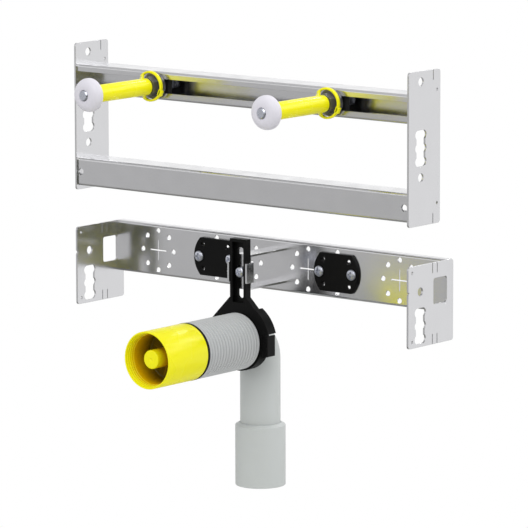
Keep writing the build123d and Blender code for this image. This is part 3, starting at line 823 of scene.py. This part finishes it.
class BASINFRAME_OT_protection_cap(bpy.types.Operator):
    """Make the yellow cap with its stepped mouth, its pin and the plug behind it"""

    bl_idname = "basinframe.protection_cap"
    bl_label = "Protection cap"

    step_count: count_property("Steps", "Steps inside the mouth", 4, 1)
    step_length: mm_property("Step length", "Length of each step", 2.4)
    step_rise: mm_property("Step rise", "Rise of each step", 0.5)
    dimple_radius: mm_property("Dimple radius", "Radius of the dimple in the pin", 1.8)
    dimple_depth: mm_property("Dimple depth", "Depth of the dimple in the pin", 0.8)
    plug_radius: mm_property("Plug radius", "Radius of the hidden plug", 22.2)
    plug_wall: mm_property("Plug wall", "Wall of the hidden plug and of the floor", 2.4)
    pin_margin: mm_property("Pin margin", "Distance round the pin that is shaded as the pin is", 1.5)
    pin_lit: mm_property("Pin lit", "Length of the pin behind its face that stays light", 0.5)
    pin_shade: share_property("Pin shade", "Share of the hollow's shade that the pin gets", 0.9)

    def execute(self, context):
        centre, front, back, size = measured("protection_cap")
        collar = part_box("seal_ring")[0].y
        corners, radii = zip(*self.corners(front, back, size, collar))
        outline = rounded(corners, [radius * MM for radius in radii])
        cap = turned("yellow_cap", outline, centre, steps=128)
        self.shade(cap, centre, front, size)
        stands_for(cap, "protection_cap")
        return {"FINISHED"}

    def shade(self, cap, centre, front, size):
        """Writes how far inside the hollow each point is, which the yellow finish turns into painted shade:
        its depth behind the mouth over the cap's depth.

        On the pin the depth counts from behind the pin's face, and a little less. The outside gets nothing.
        """
        points = np.empty(3 * len(cap.data.vertices), dtype=np.float32)
        cap.data.vertices.foreach_get("co", points)
        x, y, z = points.reshape(-1, 3).T
        radius = np.hypot(x - centre[0], z - centre[1])
        behind_mouth, behind_face = (np.clip((y - front - start) / sizes().cap_depth, 0, 1)
                                     for start in (0.0, sizes().pin_recess + self.pin_lit))
        on_pin = radius < sizes().pin_radius + self.pin_margin
        share = np.where(on_pin, self.pin_shade * behind_face, behind_mouth)
        share[radius > size - 0.5 * sizes().cap_wall] = 0.0
        # Painted shade inside the cap, which the yellow finish reads
        inside = cap.data.attributes.new("inside", "FLOAT", "POINT")
        inside.data.foreach_set("value", share.astype(np.float32))

    def corners(self, front, back, size, collar):
        """Corners (r, h) and the radius in mm that rounds each, from the pin to the mouth and back inside."""
        pin, pin_front = sizes().pin_radius, front + sizes().pin_recess
        mouth, floor = size - sizes().cap_wall, front + sizes().cap_depth
        bore = mouth - self.step_count * self.step_rise
        dimple = self.dimple_radius
        yield (0.0, pin_front + self.dimple_depth), 0.0
        yield (dimple * 0.5, pin_front + self.dimple_depth * 0.8), 0.8
        yield (dimple, pin_front), 0.5
        yield (pin, pin_front), 1.2
        yield (pin, floor), 1.5
        yield (bore, floor), 1.5
        for step in range(self.step_count, 0, -1):
            height = front + step * self.step_length
            yield (mouth - step * self.step_rise, height), 0.15
            yield (mouth - (step - 1) * self.step_rise, height), 0.15
        yield (mouth, front), 0.5
        yield (size, front), 0.5
        yield (size, collar), 0.6
        yield (self.plug_radius, collar), 0.3
        yield (self.plug_radius, back), 0.6
        yield (self.plug_radius - self.plug_wall, back), 0.6
        yield (self.plug_radius - self.plug_wall, floor + self.plug_wall), 1.0
        yield (0.0, floor + self.plug_wall), 0.0


class BASINFRAME_OT_stage(bpy.types.Operator):
    """Set the pale floor, the soft studio light and the camera"""

    bl_idname = "basinframe.stage"
    bl_label = "Stage"

    floor_size: mm_property("Floor", "Radius of the floor", 900.0)
    floor_drop: mm_property("Drop", "Distance of the floor below the lowest point", 250.0)
    lens: FloatProperty(name="Lens", description="Focal length in mm", default=308.8)
    azimuth: angle_property("Azimuth", "Turn of the camera to the right of straight in front", 38.935)
    elevation: angle_property("Elevation", "Angle of the camera above the horizon", 9.101)
    roll: angle_property("Roll", "Turn of the camera about its own line of sight", -0.12)
    distance: mm_property("Distance", "Distance of the camera from its target", 4411.7)
    target: FloatVectorProperty(name="Target", description="Point that the camera looks at",
                                default=(0.2437, -0.019, -0.1647), subtype="XYZ", unit="LENGTH")
    lamp_aim: FloatVectorProperty(name="Lamp aim", description="Point that the lamps shine at",
                                  default=(0.21, 0.0, -0.18), subtype="XYZ", unit="LENGTH")
    panel_strength: FloatProperty(name="Panels", description="Brightness of the panels that metal mirrors",
                                  default=1.3)

    # Place, diameter and power of each lamp
    LAMPS = {
        "key": ((1.1, -1.6, 1.7), 1.6, 22.0), "back_right": ((1.7, 1.2, 1.0), 1.2, 10.0),
        "rear_left_strip": ((-0.11, 1.59, 1.13), 0.24, 3.0),
        "rear_right_strip": ((0.88, 1.59, 1.0), 0.24, 2.0)}
    # What metal mirrors round the horizon, by degrees to the right of straight in front
    OLIVE = (0.050, 0.054, 0.030)
    HORIZON = (
        (-180, 0.72), (-160, 0.46), (-141, 0.36), (-115, 0.48), (-60, 0.52), (-36, 0.42), (0, 0.22),
        (22, OLIVE), (58, OLIVE), (85, 0.45), (110, 0.74), (141, 0.79), (180, 0.72))
    # What it mirrors upwards, by the sine of the height: light horizon, dark gap, bright ceiling panel
    CEILING = (
        (0.02, 0.66), (0.10, 0.98), (0.22, 1.0), (0.36, 0.50), (0.50, 0.42), (0.75, 0.56), (1.0, 0.6))
    # What lights matt surfaces, by the sine of the height: a soft, even room, lighter above
    SOFT_ROOM = ((-1.0, 0.46), (-0.1, 0.58), (0.5, 0.82), (1.0, 0.9))
    # Mirrored grey below, and the sines between which the horizon passes into the ceiling and into that grey
    UNDERSIDE = (0.30, 0.30, 0.29, 1.0)
    INTO_CEILING = (-0.06, 0.10)
    INTO_UNDERSIDE = (-0.55, -0.25)

    def execute(self, context):
        self.floor()
        self.world(context.scene)
        for name, (place, size, power) in self.LAMPS.items():
            self.lamp(name, place, size, power)
        self.camera(context.scene)
        context.scene.view_settings.view_transform = "Standard"
        return {"FINISHED"}

    def floor(self):
        """Disk of rings: ring radius r and turn t give r cos t and r sin t about the middle of the frame."""
        rings, steps = 12, 96
        low, high = CAD_BOX
        radius = np.linspace(0, self.floor_size, rings)[:, None]
        points = np.stack((0.5 * (low[0] + high[0]) + radius * np.cos(turns(steps)),
                           0.5 * (low[1] + high[1]) + radius * np.sin(turns(steps)),
                           np.full((rings, steps), low[2] - self.floor_drop)), axis=-1)
        floor = surface("floor", points, wrap_v=True)
        if floor.data.polygons[0].normal.z < 0:
            floor.data.flip_normals()
        # Matt white paper: metal sees it in half shade, as under a real product table
        lit, shaded = colours().paper, colours().shaded_paper
        material, tree, shader = new_material("studio_floor", lit, roughness=0.9)
        mirrored = add_node(tree, "LightPath").outputs["Is Glossy Ray"]
        paper = add_node(tree, "Mix", {"data_type": "RGBA"}, i0=mirrored, i6=(*lit, 1.0),
                         i7=(*shaded, 1.0)).outputs[2]
        tree.links.new(paper, shader.inputs["Base Color"])
        floor.data.materials.append(material)

    def world(self, scene):
        """Studio round the frame: even light for matt surfaces, panels with dark gaps for metal to mirror,
        and plain white for the camera."""
        world = bpy.data.worlds.new("studio")
        scene.world = world
        world.use_nodes = True
        tree = world.node_tree
        direction = add_node(tree, "TexCoord").outputs["Generated"]
        split = add_node(tree, "SeparateXYZ", Vector=direction)
        sine = split.outputs["Z"]
        # Both places run from 0 to 1: round the horizon from behind over the left, and from below to above
        forward = add_node(tree, "Math", {"operation": "MULTIPLY"}, i0=split.outputs["Y"],
                           i1=-1.0).outputs[0]
        angle = add_node(tree, "Math", {"operation": "ARCTAN2"}, i0=split.outputs["X"],
                         i1=forward).outputs[0]
        around_place = add_node(tree, "Math", {"operation": "MULTIPLY_ADD"}, i0=angle, i1=0.5 / pi,
                                i2=0.5).outputs[0]
        up_place = add_node(tree, "Math", {"operation": "MULTIPLY_ADD"}, i0=sine, i1=0.5,
                            i2=0.5).outputs[0]
        horizon = ramp(tree, around_place, [(degrees / 360 + 0.5, level) for degrees, level in self.HORIZON])
        ceiling, soft = (ramp(tree, up_place, [(0.5 + 0.5 * height, level) for height, level in stops])
                         for stops in (self.CEILING, self.SOFT_ROOM))
        in_ceiling, out_of_underside = (
            add_node(tree, "MapRange", {"interpolation_type": "SMOOTHSTEP"}, Value=sine, i1=start,
                     i2=stop, i3=0.0, i4=1.0).outputs[0]
            for start, stop in (self.INTO_CEILING, self.INTO_UNDERSIDE))
        room = add_node(tree, "Mix", {"data_type": "RGBA"}, i0=in_ceiling, i6=horizon,
                        i7=ceiling).outputs[2]
        panels = add_node(tree, "Mix", {"data_type": "RGBA"}, i0=out_of_underside, i6=self.UNDERSIDE,
                          i7=room).outputs[2]
        panels = add_node(tree, "VectorMath", {"operation": "SCALE"}, i0=panels,
                          Scale=self.panel_strength).outputs[0]
        rays = add_node(tree, "LightPath")
        light = add_node(tree, "Mix", {"data_type": "RGBA"}, i0=rays.outputs["Is Glossy Ray"],
                         i6=soft, i7=panels).outputs[2]
        colour = add_node(tree, "Mix", {"data_type": "RGBA"}, i0=rays.outputs["Is Camera Ray"],
                          i6=light, i7=(1.0, 1.0, 1.0, 1.0)).outputs[2]
        tree.links.new(colour, tree.nodes["Background"].inputs["Color"])

    def lamp(self, name, place, size, power):
        """Round area lamp that shines at the middle of the frame."""
        light = bpy.data.lights.new(name, "AREA")
        light.shape = "DISK"
        light.size = size
        light.energy = power
        lamp = bpy.data.objects.new(name, light)
        bpy.context.scene.collection.objects.link(lamp)
        lamp.location = place
        aim = Vector(self.lamp_aim) - Vector(place)
        lamp.rotation_euler = aim.to_track_quat("-Z", "Y").to_euler()

    def camera(self, scene):
        """Camera at a distance from its target: back, right and up are its own axes before the roll."""
        lens = bpy.data.cameras.new("photo_camera")
        lens.lens = self.lens
        lens.sensor_width = 36.0
        camera = bpy.data.objects.new("photo_camera", lens)
        scene.collection.objects.link(camera)
        back = Vector((sin(self.azimuth) * cos(self.elevation), -cos(self.azimuth) * cos(self.elevation),
                       sin(self.elevation)))
        right = Vector((cos(self.azimuth), sin(self.azimuth), 0.0))
        up = back.cross(right)
        turned_right = cos(self.roll) * right + sin(self.roll) * up
        turned_up = cos(self.roll) * up - sin(self.roll) * right
        place = Vector(self.target) + back * self.distance
        camera.matrix_world = Matrix((
            (turned_right.x, turned_up.x, back.x, place.x),
            (turned_right.y, turned_up.y, back.y, place.y),
            (turned_right.z, turned_up.z, back.z, place.z),
            (0.0, 0.0, 0.0, 1.0)))
        scene.camera = camera


class BASINFRAME_PT_panel(bpy.types.Panel):
    """Sizes, colours and pieces of the frame"""

    bl_idname = "BASINFRAME_PT_panel"
    bl_label = "Basin Frame"
    bl_space_type = "VIEW_3D"
    bl_region_type = "UI"
    bl_category = "Basin Frame"

    def draw(self, context):
        for group in (context.scene.basin_frame_sizes, context.scene.basin_frame_colours):
            column = self.layout.column()
            for name in group.__annotations__:
                column.prop(group, name)
        for operator in OPERATORS:
            self.layout.operator(operator.bl_idname)


OPERATORS = (
    BASINFRAME_OT_plain_parts, BASINFRAME_OT_nuts_and_washers, BASINFRAME_OT_stud_rods,
    BASINFRAME_OT_basin_washers, BASINFRAME_OT_protection_sleeves, BASINFRAME_OT_screws,
    BASINFRAME_OT_drain_pipe, BASINFRAME_OT_ribbed_sleeve, BASINFRAME_OT_protection_cap, BASINFRAME_OT_stage)
CLASSES = (BasinFrameSizes, BasinFrameColours, *OPERATORS, BASINFRAME_PT_panel)


def register():
    for cls in CLASSES:
        bpy.utils.register_class(cls)
    bpy.types.Scene.basin_frame_sizes = PointerProperty(type=BasinFrameSizes)
    bpy.types.Scene.basin_frame_colours = PointerProperty(type=BasinFrameColours)


def unregister():
    del bpy.types.Scene.basin_frame_colours
    del bpy.types.Scene.basin_frame_sizes
    for cls in reversed(CLASSES):
        bpy.utils.unregister_class(cls)


def main():
    register()
    for operator in OPERATORS:
        group, name = operator.bl_idname.split(".")
        getattr(getattr(bpy.ops, group), name)()


if __name__ == "__main__":
    main()
